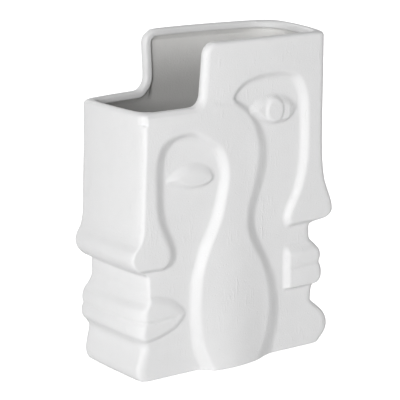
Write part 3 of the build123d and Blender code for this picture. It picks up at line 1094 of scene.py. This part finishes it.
    def rim_line(
        self, x: Array, z: Array, corner_x: float, wall: Part
    ) -> tuple[Array, Array, Array]:
        """Carries the inset border of one wall at the step out to the rim.

        The border is straight with square corners. Its length is matched, stretch by stretch,
        with the rim's line, whose two corners are rounded: the round stretches share out the
        border's length evenly.

        Args:
            x: The border's x, in order from the low mouth to the high one.
            z: The border's z.
            corner_x: The x of the column where the border turns.
            wall: The front or the back, whose steps differ in rounding and lean.

        Returns:
            The rim's x, z and outward direction (two columns) for each border point.
        """
        plan, inset, past = self.plan, self.inset, self.past_corner
        r = plan.step_round if wall is Part.FRONT else plan.back_step_round
        lean = plan.step_lean if wall is Part.FRONT else plan.back_step_lean
        step, low, high = plan.step_x, plan.low_mouth, plan.height
        start, rise = step - r, high - low
        turn = np.linspace(0.0, math.pi / 2, 24)
        rim = np.vstack([
            np.column_stack([start + r * np.sin(turn), low + r - r * np.cos(turn)]),
            np.column_stack([step + r - r * np.cos(turn), high - r + r * np.sin(turn)]),
            [(corner_x + past, high)],
        ])  # fmt: skip
        along = np.concatenate([[0.0], np.cumsum(np.linalg.norm(np.diff(rim, axis=0), axis=1))])
        quarter = r * math.pi / 2
        first = corner_x - start
        knots = np.array([0.0, first + r + inset, first + rise - past, first + rise + past])
        marks = np.array([0.0, quarter, quarter + rise - r - past - inset, along[-1]])
        length = np.where(z <= low - inset + TINY, x - start, first + z - low + inset)
        length = np.where(z >= high - inset - TINY, first + rise + x - corner_x, length)
        place = np.interp(length, knots, marks)
        place = np.where(length < 0, length, place)
        place = np.where(length > knots[3], marks[3] + length - knots[3], place)

        def at(place: Array) -> tuple[Array, Array]:
            """The rim's x and z at a length along it, with the step's lean.

            Args:
                place: Lengths along the rim from the step's first rounding.

            Returns:
                The x and the z there.
            """
            out_x = np.interp(place, along, rim[:, 0]) + np.minimum(place, 0.0)
            out_x = out_x + np.maximum(place - along[-1], 0.0)
            out_z = np.interp(place, along, rim[:, 1])
            near = ramp(out_x, *self.lean_ramp) * fall(out_x, *self.lean_fall)
            return out_x + near * lean * (out_z - 0.5 * (low + high)), out_z

        out_x, out_z = at(place)
        before, after = at(place - 0.8), at(place + 0.8)
        dx, dz = after[0] - before[0], after[1] - before[1]
        size = np.hypot(dx, dz)
        return out_x, out_z, np.column_stack([-dz / size, dx / size])

    def border(self, probe: Array, high_z: Array, first: int, last: int) -> Border:
        """Works out where each vertex of the border sits, and where it goes on the rim.

        Args:
            probe: The loop at the height of the low mouth's inset.
            high_z: Heights of the rows from there up.
            first: The front's column where the border turns upwards.
            last: The back's column where it turns downwards.

        Returns:
            The border.
        """
        plan = self.plan
        tall, wide = len(high_z), last - first + 1
        column = np.concatenate([
            np.full(tall - 1, first), np.arange(first, last + 1), np.full(tall - 1, last),
            np.arange(last + 1, self.total), np.arange(0, first),
        ])  # fmt: skip
        level = np.concatenate([
            high_z[:-1], np.full(wide, high_z[-1]), high_z[-2::-1],
            np.full(self.total - wide, high_z[0]),
        ])  # fmt: skip
        part = self.part_of[column]
        at_x = probe[column, 0]
        rim_x, rim_z = at_x.copy(), np.where(level > high_z[0] + TINY, plan.height, plan.low_mouth)
        rim_z[0] = plan.low_mouth
        way = np.tile([0.0, 1.0], (len(column), 1))
        order = np.arange(len(column))
        for wall, corner in ((Part.FRONT, first), (Part.BACK, last)):
            on = order[part == wall.value]
            if wall is Part.FRONT:
                on = np.concatenate([on[on > tall + wide], on[on <= tall + wide]])
            else:
                on = on[::-1]
            x, z, out = self.rim_line(at_x[on], level[on], probe[corner, 0], wall)
            rim_x[on], rim_z[on], way[on] = x, z, out
        on_front, on_back = part == Part.FRONT.value, part == Part.BACK.value
        return Border(column, level, at_x, rim_x, rim_z, way, on_front, on_back)

    def rim_section(self, outer_round: Array) -> list[tuple]:
        """Section of the rim, from its outer edge inwards and down to the chamber's wall.

        It is a quarter round, a flat top, a quarter round, the collar and a small slanted step.

        Args:
            outer_round: Radius of the outer rounding at each vertex of the border.

        Returns:
            For each step the depth inside the outer skin, the height over the rim, and whether
            it lies under the collar.
        """
        plan, r, low = self.plan, self.inner_round, -self.collar
        turns = np.linspace(0.0, math.pi / 2, 6)[1:]
        flat = np.maximum(plan.rim - outer_round - r, 0.3)
        section = [
            (outer_round * (1 - math.cos(t)), -outer_round * (1 - math.sin(t)), False)
            for t in turns
        ]
        section += [(plan.rim - r - flat * (1 - s), 0.0, False) for s in (0.33, 0.67, 1.0)]
        section += [
            (plan.rim - r * (1 - math.sin(t)), -r * (1 - math.cos(t)), False) for t in turns
        ]
        return section + [
            (plan.rim, 0.75 * low, False), (plan.rim, low + 0.5, False),
            (plan.rim - 0.30, low, False), (plan.wall + 1.5, low - 0.5, True),
            (plan.wall + 1.1, low - 1.6, True),
        ]  # fmt: skip

    def rim(self, shell: Shell, start: Array, goal: Array, border: Border) -> None:
        """Joins the outer skin and the chamber over the rim.

        The strip climbs the outer skin from the border to where the rim's rounding begins,
        follows the rim's section, and then runs straight to the chamber's border.

        Args:
            shell: What the vertices and faces go into.
            start: The outer skin's border.
            goal: The chamber's border.
            border: Where each vertex of the border sits and goes.
        """
        plan, column, front, back = self.plan, border.column, border.front, border.back
        top = np.array([plan.height - 2.0])
        high_line = self.outer(top)[0][column]
        on_wall = front | back
        upright = np.where(front, np.clip(-border.way[:, 0], 0.0, 1.0), 0.0)
        outer_round = self.outer_round + (self.step_edge_round - self.outer_round) * upright
        round_x = border.rim_x - border.way[:, 0] * outer_round
        round_z = border.rim_z - border.way[:, 1] * outer_round
        strip = [start[None]]
        for s in (np.arange(self.climb_rows) + 1) / self.climb_rows:
            x = border.at_x * (1 - s) + round_x * s
            z = border.level * (1 - s) + round_z * s
            y = np.where(back, plan.back_y(x), high_line[:, 1])
            y = np.where(front, self.relief.y(x, z), y)
            points = np.column_stack([np.where(on_wall, x, high_line[:, 0]), y, z])
            strip.append(shell.add(points)[None])
        rim_y = self.relief.y(border.rim_x, border.rim_z)
        face_gap = (plan.chamber_front - 0.3 - rim_y) * ramp(border.rim_x, *self.gap_ramp)
        thick = np.where(front, np.maximum(plan.rim, face_gap), plan.rim)
        for inset, over, under_collar in self.rim_section(outer_round):
            own = self.outer(top, np.array([float(np.min(inset))]))[0][column]
            x = border.rim_x + border.way[:, 0] * over
            x = x + np.where(on_wall, own[:, 0] - high_line[:, 0], 0.0)
            z = border.rim_z + border.way[:, 1] * over
            depth = plan.chamber_front - rim_y if under_collar else inset * thick / plan.rim
            y = np.where(back, plan.back_y(x) - inset, own[:, 1])
            y = np.where(front, rim_y + depth, y)
            points = np.column_stack([np.where(on_wall, x, own[:, 0]), y, z])
            strip.append(shell.add(points)[None])
        chamber = shell.points()[goal]
        for s in (0.34, 0.67):
            strip.append(shell.add(points * (1 - s) + chamber * s)[None])
        strip.append(goal[None])
        collar_row = len(strip) - 5
        shell.grid(np.vstack(strip[: collar_row + 1]), True, Zone.OUTSIDE)
        shell.grid(np.vstack(strip[collar_row:]), True, Zone.CHAMBER)

    def base(self, shell: Shell, foot: Array, chamber: Array) -> None:
        """Adds the foot's rounded edge, ring and recess, and the chamber's bowl-shaped floor.

        Args:
            shell: What the vertices and faces go into.
            foot: The outer skin's lowest loop.
            chamber: The chamber's lowest loop.
        """
        plan = self.plan
        turns = np.linspace(0.0, math.pi / 2, 5)[1:]
        z = plan.bottom + self.foot_round * (1 - np.sin(turns))
        z = np.concatenate([z, [plan.bottom, plan.bottom + 0.3, plan.bottom + plan.foot_recess]])
        inset = self.foot_round * (1 - np.cos(turns))
        inset = np.concatenate([inset, plan.foot_width + np.array([-0.3, 0.0, 0.2])])
        ring = shell.add(self.outer(z, inset))
        shell.grid(np.vstack([foot[None], ring[:4]])[::-1], True, Zone.OUTSIDE)
        shell.grid(ring[3:][::-1], True, Zone.FOOT)
        shell.cap(ring[-1][::-1], Zone.FOOT)
        z = plan.floor + self.bowl_round * (1 - np.sin(turns))
        inset = plan.wall + self.bowl_round * (1 - np.cos(turns))
        rows = [self.inner(z[n : n + 1], depth) for n, depth in enumerate(inset)]
        bowl = shell.add(np.concatenate(rows))
        shell.grid(np.vstack([chamber[None], bowl]), True, Zone.CHAMBER)
        shell.cap(bowl[-1], Zone.CHAMBER)

    def build(self) -> bpy.types.Object:
        """Builds the body as one closed mesh and puts it into the scene.

        Returns:
            The body's object, at the origin.
        """
        plan, shell = self.plan, Shell()
        low_z, high_z = self.heights()
        probe = self.outer(high_z[:1])[0]
        turn_x = plan.step_x + self.inset
        first = int(np.abs(probe[: self.front_columns, 0] - turn_x).argmin())
        back_from = int(np.argmax(self.part_of == Part.BACK.value))
        back_x = probe[back_from : back_from + self.back_columns, 0]
        last = back_from + int(np.abs(back_x - turn_x).argmin())

        def skin(rows_low: Array, rows_high: Array, zone: Zone) -> tuple[Array, Array]:
            """Adds an L-shaped skin and returns its bottom loop and its border.

            Args:
                rows_low: Closed loops below the mouth.
                rows_high: Loops above them.
                zone: The zone of the faces.

            Returns:
                The numbers of the bottom loop and of the border.
            """
            lower = shell.add(rows_low)
            upper = shell.add(rows_high[1:, first : last + 1])
            joined = np.vstack([lower[-1, first : last + 1], upper])
            for index, closed in ((lower, True), (joined, False)):
                shell.grid(index[::-1] if zone is Zone.CHAMBER else index, closed, zone)
            border = np.concatenate([
                joined[:-1, 0], joined[-1], joined[-2::-1, -1],
                lower[-1, last + 1 :], lower[-1, :first],
            ])  # fmt: skip
            return lower[0], border

        foot, outer_border = skin(self.outer(low_z), self.outer(high_z), Zone.OUTSIDE)
        bowl_top = plan.floor + self.bowl_round
        inner_z = np.concatenate([[bowl_top], np.linspace(20.0, low_z[-1], self.inner_rows)])
        chamber, inner_border = skin(self.inner(inner_z), self.inner(high_z), Zone.CHAMBER)
        self.rim(shell, outer_border, inner_border, self.border(probe, high_z, first, last))
        self.base(shell, foot, chamber)
        made = bpy.data.objects.new("ceramic_body", shell.mesh("vase_shell", plan.shift))
        bpy.context.scene.collection.objects.link(made)
        return made


# ---------------------------------------------------------------- finishes


Tree = bpy.types.NodeTree
Socket = bpy.types.NodeSocket


class Wiring:
    """Adds nodes to a tree and wires them."""

    def __init__(self, tree: Tree) -> None:
        """Takes the tree."""
        self.tree = tree

    def node(self, kind: str, **settings: object) -> bpy.types.Node:
        """Adds a node and sets its properties.

        Args:
            kind: The node's type.
            settings: Properties by name.

        Returns:
            The node.
        """
        made = self.tree.nodes.new(kind)
        for name, value in settings.items():
            setattr(made, name, value)
        return made

    def feed(self, node: bpy.types.Node, inputs: dict) -> bpy.types.Node:
        """Gives a node's inputs a constant or a link each.

        Args:
            node: The node.
            inputs: A constant or a socket by name or number.

        Returns:
            The same node.
        """
        for name, value in inputs.items():
            if isinstance(value, Socket):
                self.tree.links.new(value, node.inputs[name])
            else:
                node.inputs[name].default_value = value
        return node

    def math(self, operation: str, *values: object, clamp: bool = False) -> Socket:
        """One arithmetic operation on one or two values."""
        made = self.node("ShaderNodeMath", operation=operation, use_clamp=clamp)
        return self.feed(made, dict(enumerate(values))).outputs[0]

    def noise(self, vector: Socket, scale: float, detail: float) -> Socket:
        """Soft noise from 0 to 1."""
        made = self.node("ShaderNodeTexNoise")
        self.feed(made, {"Vector": vector, "Scale": scale, "Detail": detail, "Roughness": 0.55})
        return made.outputs["Fac"]

    def band(self, value: Socket, low: float, high: float) -> Socket:
        """Eases a value from 0 at the low end to 1 at the high end."""
        made = self.node("ShaderNodeMapRange", interpolation_type="SMOOTHSTEP")
        return self.feed(made, {"Value": value, "From Min": low, "From Max": high}).outputs[0]


def effect(name: str, inputs: dict, outputs: tuple) -> tuple[Tree, Wiring, dict, bpy.types.Node]:
    """Starts a shared effect as a node group.

    Args:
        name: The group's name.
        inputs: Name and standard value of each float input.
        outputs: Names of the float outputs.

    Returns:
        The group, its wiring, its input sockets by name, and its output node. The inputs hold
        one more, "place", the position on the object in millimetres.
    """
    group = bpy.data.node_groups.new(name, "ShaderNodeTree")
    for key, value in inputs.items():
        made = group.interface.new_socket(name=key, in_out="INPUT", socket_type="NodeSocketFloat")
        made.default_value = value
    for key in outputs:
        group.interface.new_socket(name=key, in_out="OUTPUT", socket_type="NodeSocketFloat")
    wires = Wiring(group)
    entry = wires.node("NodeGroupInput")
    where = wires.node("ShaderNodeTexCoord")
    scaled = wires.node("ShaderNodeVectorMath", operation="SCALE")
    wires.feed(scaled, {0: where.outputs["Object"], "Scale": 1000.0})
    given = {key: entry.outputs[key] for key in inputs}
    given["place"] = scaled.outputs[0]
    return group, wires, given, wires.node("NodeGroupOutput")


def slip_grain() -> Tree:
    """Fine grain of the slip with scattered small pits.

    Returns:
        The node group.
    """
    group, wires, given, out = effect("slip_grain", {"Size": 1.0, "Pits": 0.5}, ("Height",))
    scale = wires.math("DIVIDE", 1.0, given["Size"])
    vector = wires.node("ShaderNodeVectorMath", operation="SCALE")
    wires.feed(vector, {0: given["place"], "Scale": scale})
    place = vector.outputs[0]
    fine = wires.noise(place, 0.9, 3.0)
    cells = wires.node("ShaderNodeTexVoronoi", feature="F1")
    wires.feed(cells, {"Vector": place, "Scale": 0.42, "Randomness": 1.0})
    hole = wires.band(cells.outputs["Distance"], 0.26, 0.08)
    rare = wires.band(wires.noise(place, 0.16, 1.0), 0.56, 0.66)
    pits = wires.math("MULTIPLY", wires.math("MULTIPLY", hole, rare), given["Pits"])
    wires.feed(out, {"Height": wires.math("SUBTRACT", fine, pits)})
    return group


def brush_marks() -> Tree:
    """Upright brush marks in the slip: long thin noise that comes and goes in patches.

    Returns:
        The node group.
    """
    group, wires, given, out = effect("brush_marks", {"Strength": 1.0}, ("Height",))
    squeeze = wires.node("ShaderNodeVectorMath", operation="MULTIPLY")
    wires.feed(squeeze, {0: given["place"], 1: (1.0, 1.0, 0.22)})
    lines = wires.band(wires.noise(squeeze.outputs[0], 0.34, 3.0), 0.54, 0.72)
    patch = wires.band(wires.noise(given["place"], 0.03, 2.0), 0.44, 0.62)
    deep = wires.math("MULTIPLY", wires.math("MULTIPLY", lines, patch), given["Strength"])
    wires.feed(out, {"Height": deep})
    return group


def kiln_mottle() -> Tree:
    """Broad, faint changes of shade and sheen from the kiln.

    Returns:
        The node group.
    """
    group, wires, given, out = effect("kiln_mottle", {"Contrast": 0.03}, ("Shade", "Sheen"))
    broad = wires.math("SUBTRACT", wires.noise(given["place"], 0.018, 2.0), 0.5)
    small = wires.math("SUBTRACT", wires.noise(given["place"], 0.11, 3.0), 0.5)
    both = wires.math("ADD", broad, wires.math("MULTIPLY", small, 0.5))
    shade = wires.math("ADD", 1.0, wires.math("MULTIPLY", both, given["Contrast"]))
    wires.feed(out, {"Shade": shade, "Sheen": wires.math("MULTIPLY", small, 0.25)})
    return group


def ridge_tone_crease_shade() -> Tree:
    """Lighter on ridges, and painted shade in creases, from the mesh's edge measure.

    Returns:
        The node group.
    """
    group, wires, given, out = effect("ridge_tone_crease_shade", {"Ridge": 0.03, "Crease": 0.05}, ("Shade",))
    mark = wires.node("ShaderNodeAttribute", attribute_name="edge", attribute_type="GEOMETRY")
    ridge = wires.math("MULTIPLY", wires.band(mark.outputs["Fac"], 0.10, 0.8), given["Ridge"])
    # Painted shade: darker where the mesh is concave, in the creases.
    crease = wires.math("MULTIPLY", wires.band(mark.outputs["Fac"], -0.05, -0.6), given["Crease"])
    wires.feed(out, {"Shade": wires.math("SUBTRACT", wires.math("ADD", 1.0, ridge), crease)})
    return group


def painted_depth_shade() -> Tree:
    """Painted shade: full colour near the mouth, darker further down inside the chamber.

    Returns:
        The node group.
    """
    inputs = {"Low": 225.0, "High": 285.0, "Amount": 0.0}
    group, wires, given, out = effect("painted_depth_shade", inputs, ("Shade",))
    parts = wires.node("ShaderNodeSeparateXYZ")
    wires.feed(parts, {0: given["place"]})
    uneven = wires.math("SUBTRACT", wires.noise(given["place"], 0.03, 2.0), 0.5)
    wobble = wires.math("MULTIPLY", uneven, 14.0)
    ramp = wires.node("ShaderNodeMapRange", interpolation_type="SMOOTHSTEP")
    height = wires.math("ADD", parts.outputs["Z"], wobble)
    wires.feed(ramp, {"Value": height, "From Min": given["Low"], "From Max": given["High"]})
    # Painted shade: the colour darkens with depth below the mouth.
    lack = wires.math("SUBTRACT", 1.0, ramp.outputs[0])
    loss = wires.math("MULTIPLY", lack, given["Amount"])
    wires.feed(out, {"Shade": wires.math("SUBTRACT", 1.0, loss)})
    return group


@dataclass(frozen=True)
class Finish:
    """A ceramic or rubber finish: plain colour, shared effects and one bump.

    The ridge and crease values lighten ridges and put painted shade in creases, and the fade is
    painted shade far below the mouth. The grain's depth is in millimetres.
    """

    name: str
    colour: tuple[float, float, float]
    roughness: float
    grain: float
    grain_depth: float
    pits: float
    brush: float
    mottle: float
    edge_tone_and_shade: tuple[float, float] = (0.0, 0.0)
    coat: float = 0.0
    fade: float = 0.0

    def material(self, effects: dict[str, Tree]) -> bpy.types.Material:
        """Makes the material.

        Args:
            effects: The shared effects by name.

        Returns:
            The node-based material.
        """
        made = bpy.data.materials.new(self.name)
        made.use_nodes = True
        wires = Wiring(made.node_tree)
        shader = made.node_tree.nodes["Principled BSDF"]

        def shared(name: str, **inputs: float) -> bpy.types.Node:
            """Places one of the shared effects with its own values."""
            return wires.feed(wires.node("ShaderNodeGroup", node_tree=effects[name]), inputs)

        mottle = shared("kiln_mottle", Contrast=self.mottle)
        # Lighter ridges, and painted shade in the creases.
        edge_tone_and_shade = shared("ridge_tone_crease_shade", Ridge=self.edge_tone_and_shade[0], Crease=self.edge_tone_and_shade[1])
        shade = wires.math("MULTIPLY", mottle.outputs["Shade"], edge_tone_and_shade.outputs["Shade"])
        # Painted shade, darker further below the mouth.
        fade = shared("painted_depth_shade", Amount=self.fade)
        shade = wires.math("MULTIPLY", shade, fade.outputs["Shade"])
        tint = wires.node("ShaderNodeVectorMath", operation="SCALE")
        wires.feed(tint, {0: self.colour, "Scale": shade})
        sheen = wires.math("ADD", self.roughness, mottle.outputs["Sheen"], clamp=True)
        grain = shared("slip_grain", Size=self.grain, Pits=self.pits)
        brush = shared("brush_marks", Strength=self.brush)
        height = wires.math("ADD", grain.outputs["Height"], brush.outputs["Height"])
        bump = wires.node("ShaderNodeBump")
        wires.feed(bump, {"Strength": 1.0, "Distance": self.grain_depth * MM, "Height": height})
        wires.feed(shader, {
            "Base Color": tint.outputs[0], "Roughness": sheen,
            "Normal": bump.outputs["Normal"], "Coat Weight": self.coat, "Coat Roughness": 0.35,
        })  # fmt: skip
        return made


# Its crease value is painted shade in creases.
OUTSIDE = Finish(
    "matte_white_slip", (0.800, 0.800, 0.802), 0.56, grain=1.1, grain_depth=0.15, pits=1.1,
    brush=1.0, mottle=0.06, edge_tone_and_shade=(0.03, 0.06), coat=0.06,
)  # fmt: skip
# The chamber's fade is painted shade deep inside it; its crease value is painted shade in creases.
CHAMBER = Finish(
    "bare_chamber", (0.800, 0.795, 0.780), 0.80, grain=1.5, grain_depth=0.20, pits=0.8,
    brush=0.5, mottle=0.07, edge_tone_and_shade=(0.0, 0.05), fade=0.40,
)  # fmt: skip
FOOT = Finish(
    "bare_foot", (0.700, 0.685, 0.655), 0.85, grain=0.8, grain_depth=0.15, pits=1.2,
    brush=0.0, mottle=0.06,
)  # fmt: skip
PAD = Finish(
    "soft_pad", (0.42, 0.42, 0.415), 0.72, grain=0.5, grain_depth=0.05, pits=0.0,
    brush=0.0, mottle=0.04,
)  # fmt: skip


# ---------------------------------------------------------------- the stage


@dataclass
class PaleFloor:
    """A large pale floor, which shows as plain white to the camera."""

    reach: float = 30.0
    shade: float = 0.82
    roughness: float = 0.9
    glow: float = 1.0

    def material(self) -> bpy.types.Material:
        """Makes the paint: matte, with a glow added for what the camera sees directly.

        Returns:
            The material.
        """
        paint = bpy.data.materials.new("pale_floor")
        paint.use_nodes = True
        wires = Wiring(paint.node_tree)
        shader = paint.node_tree.nodes["Principled BSDF"]
        colour = (self.shade, self.shade, self.shade, 1.0)
        wires.feed(shader, {"Base Color": colour, "Roughness": self.roughness})
        glow = wires.feed(wires.node("ShaderNodeEmission"), {"Strength": self.glow})
        both = wires.node("ShaderNodeAddShader")
        wires.feed(both, {0: shader.outputs[0], 1: glow.outputs[0]})
        seen = wires.node("ShaderNodeLightPath").outputs["Is Camera Ray"]
        pick = wires.node("ShaderNodeMixShader")
        wires.feed(pick, {0: seen, 1: shader.outputs[0], 2: both.outputs[0]})
        wires.feed(paint.node_tree.nodes["Material Output"], {"Surface": pick.outputs[0]})
        return paint

    def build(self) -> None:
        """Lays the floor as part of the stage."""
        r = self.reach
        mesh = bpy.data.meshes.new("floor")
        mesh.from_pydata([(-r, -r, 0), (r, -r, 0), (r, r, 0), (-r, r, 0)], [], [(0, 1, 2, 3)])
        mesh.materials.append(self.material())
        plate = bpy.data.objects.new("floor", mesh)
        bpy.context.scene.collection.objects.link(plate)


@dataclass(frozen=True)
class Lamp:
    """A square soft light that looks at the vase, in metres and watts."""

    name: str
    place: tuple[float, float, float]
    size: float
    power: float

    def build(self) -> None:
        """Hangs the light."""
        light = bpy.data.lights.new(self.name, "AREA")
        light.shape = "SQUARE"
        light.size = self.size
        light.energy = self.power
        made = bpy.data.objects.new(self.name, light)
        made.location = self.place
        aim = Vector((0.0, 0.0, 0.13)) - Vector(self.place)
        made.rotation_mode = "QUATERNION"
        made.rotation_quaternion = aim.to_track_quat("-Z", "Y")
        bpy.context.scene.collection.objects.link(made)


LAMPS = (
    Lamp("key_light", (-2.85, -2.25, 1.15), 1.2, 80),
    Lamp("back_fill", (0.50, 3.00, 1.80), 1.5, 30),
    Lamp("low_front", (0.00, -0.75, 0.012), 0.60, 1.25),
    Lamp("low_left", (-0.80, -0.10, 0.012), 0.50, 0.70),
)


@dataclass
class Studio:
    """Pale floor, soft lights and the camera.

    The target and the offset of the camera from it are in millimetres, and the sky is the
    world's strength at the height of the walls and at the ceiling.
    """

    target: tuple[float, float, float] = (-8.25, 4.74, 140.3)
    offset: tuple[float, float, float] = (-770.0, -1141.5, 347.7)
    focal: float = 148.78
    shift: tuple[float, float] = (0.010, -0.0127)
    sky: tuple[float, float] = (0.465, 0.25)

    def camera(self) -> None:
        """Places the camera at the photograph's viewing angle."""
        lens = bpy.data.cameras.new("view")
        lens.lens = self.focal
        lens.sensor_width = 36.0
        lens.shift_x, lens.shift_y = self.shift
        lens.clip_end = 50.0
        eye = bpy.data.objects.new("view", lens)
        target, offset = Vector(self.target), Vector(self.offset)
        eye.location = (target + offset) * MM
        eye.rotation_mode = "QUATERNION"
        eye.rotation_quaternion = (-offset).to_track_quat("-Z", "Y")
        bpy.context.scene.collection.objects.link(eye)
        bpy.context.scene.camera = eye

    def world(self) -> None:
        """Sets the world's pale light, which falls evenly from the walls to the ceiling."""
        world = bpy.data.worlds.new("studio")
        bpy.context.scene.world = world
        world.use_nodes = True
        wires = Wiring(world.node_tree)
        parts = wires.node("ShaderNodeSeparateXYZ")
        wires.feed(parts, {0: wires.node("ShaderNodeTexCoord").outputs["Generated"]})
        fall = wires.node("ShaderNodeMapRange")
        walls, ceiling = self.sky
        wires.feed(fall, {"Value": parts.outputs["Z"], "To Min": walls, "To Max": ceiling})
        sky = world.node_tree.nodes["Background"]
        wires.feed(sky, {"Color": (1, 1, 1, 1), "Strength": fall.outputs[0]})

    def build(self) -> None:
        """Sets the whole stage."""
        bpy.context.scene.view_settings.view_transform = "Standard"
        self.camera()
        PaleFloor().build()
        self.world()
        for lamp in LAMPS:
            lamp.build()
        log.info("stage: camera, floor and %d lamps", len(LAMPS))


def dress_pads(rubber: bpy.types.Material) -> None:
    """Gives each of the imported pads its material.

    Args:
        rubber: The material that they get.
    """
    for made in bpy.context.scene.objects:
        if made.type == "MESH" and "pad" in made.name:
            made.data.materials.clear()
            made.data.materials.append(rubber)
            log.info("%s: %s", made.name, rubber.name)


def main() -> None:
    """Sets the stage, builds the vase and dresses it and its pads."""
    logging.basicConfig(level=logging.INFO, format="%(name)s: %(message)s")
    Studio().build()
    plan = VasePlan()
    makers = (slip_grain, brush_marks, kiln_mottle, ridge_tone_crease_shade, painted_depth_shade)
    effects = {maker.__name__: maker() for maker in makers}
    body = VaseBody(plan, FaceRelief(plan)).build()
    for finish in (OUTSIDE, CHAMBER, FOOT):
        body.data.materials.append(finish.material(effects))
    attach(body, "root")
    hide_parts("vase_body")
    dress_pads(PAD.material(effects))


if __name__ == "__main__":
    main()
